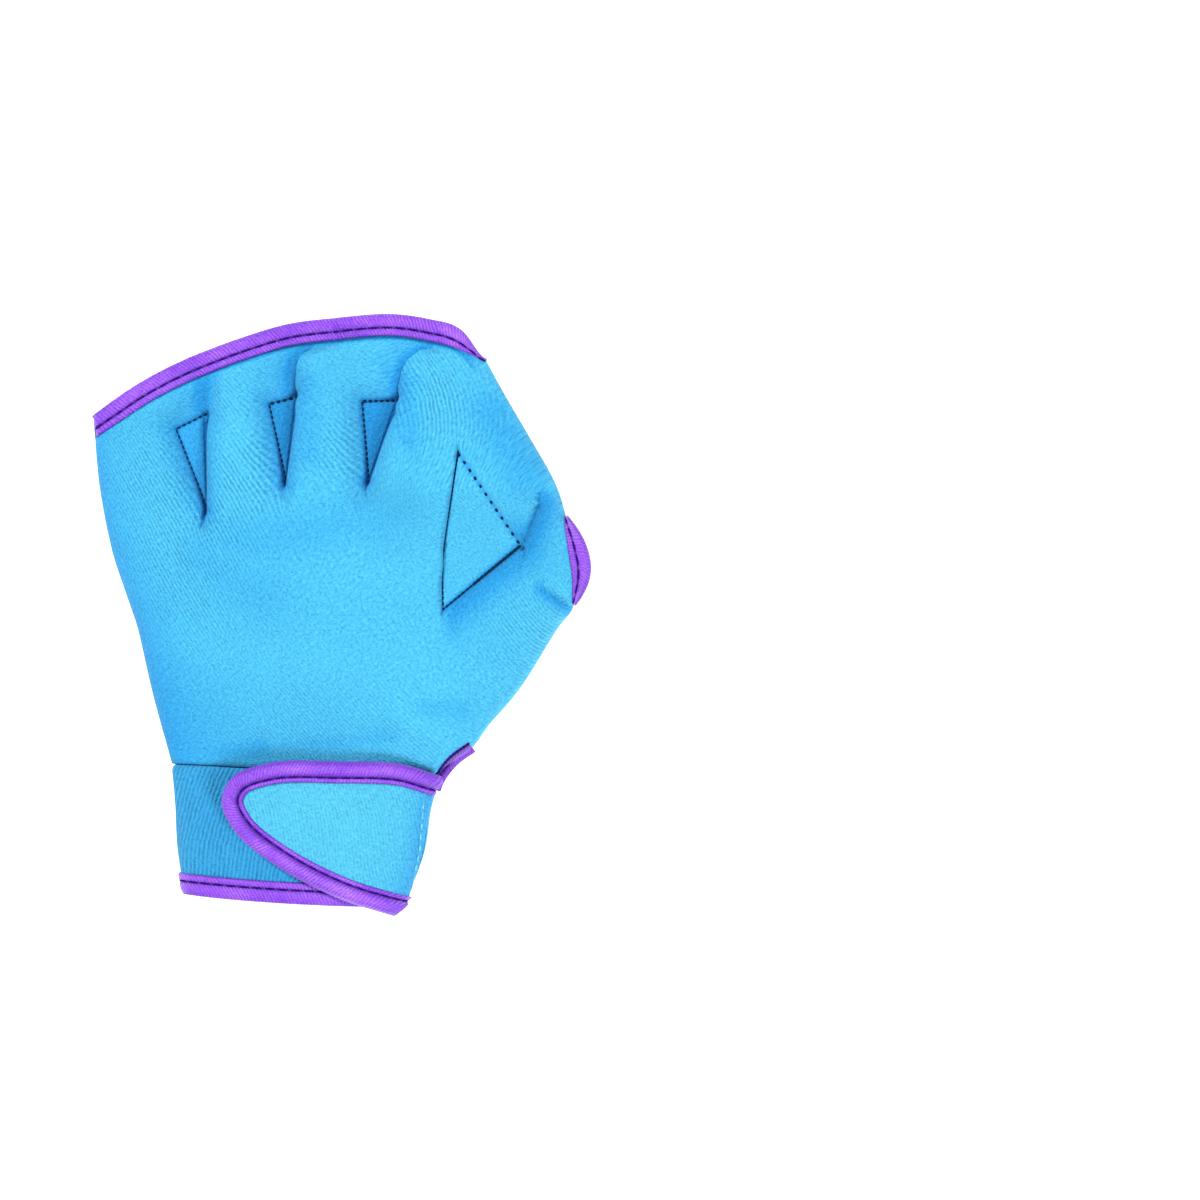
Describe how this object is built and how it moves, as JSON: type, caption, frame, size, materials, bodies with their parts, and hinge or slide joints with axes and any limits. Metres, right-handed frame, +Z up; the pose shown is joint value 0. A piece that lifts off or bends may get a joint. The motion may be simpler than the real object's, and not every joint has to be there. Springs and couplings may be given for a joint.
{
  "type": "webbed swim glove",
  "caption": "Webbed swim glove for the left hand: puffed cloth back and palm, pressed finger webs, taped open finger, thumb and wrist rims, and a wrist band closed by a tab.",
  "frame": {"origin": "middle of the footprint, on the surface the palm rests on", "axes": "+Y towards the open finger end, +X towards the thumb, +Z up out of the back of the hand"},
  "size_m": [0.1662, 0.2006, 0.0276],
  "materials": {
    "back_cloth": "bright blue knit face on foam rubber cloth, fine diagonal ribs, matte",
    "palm_cloth": "black embossed grip rubber, rows of small raised scales, satin gloss",
    "band_cloth": "blue knit face on foam rubber cloth, matte",
    "binding_tape": "purple ribbed elastic tape with a satin sheen, dark stitch line",
    "fastening_pad": "dark hook-and-loop pad, hidden under the tab"
  },
  "bodies": {
    "root": {"back_panel": "back_cloth", "palm_panel": "palm_cloth", "top_binding_back": "binding_tape", "top_binding_palm": "binding_tape", "thumb_binding_back": "binding_tape", "thumb_binding_palm": "binding_tape", "cuff_band": "band_cloth", "cuff_binding": "binding_tape", "closure_tab": "band_cloth", "tab_binding": "binding_tape", "hook_patch": "fastening_pad", "slit_binding": "binding_tape"}
  },
  "joints": []
}
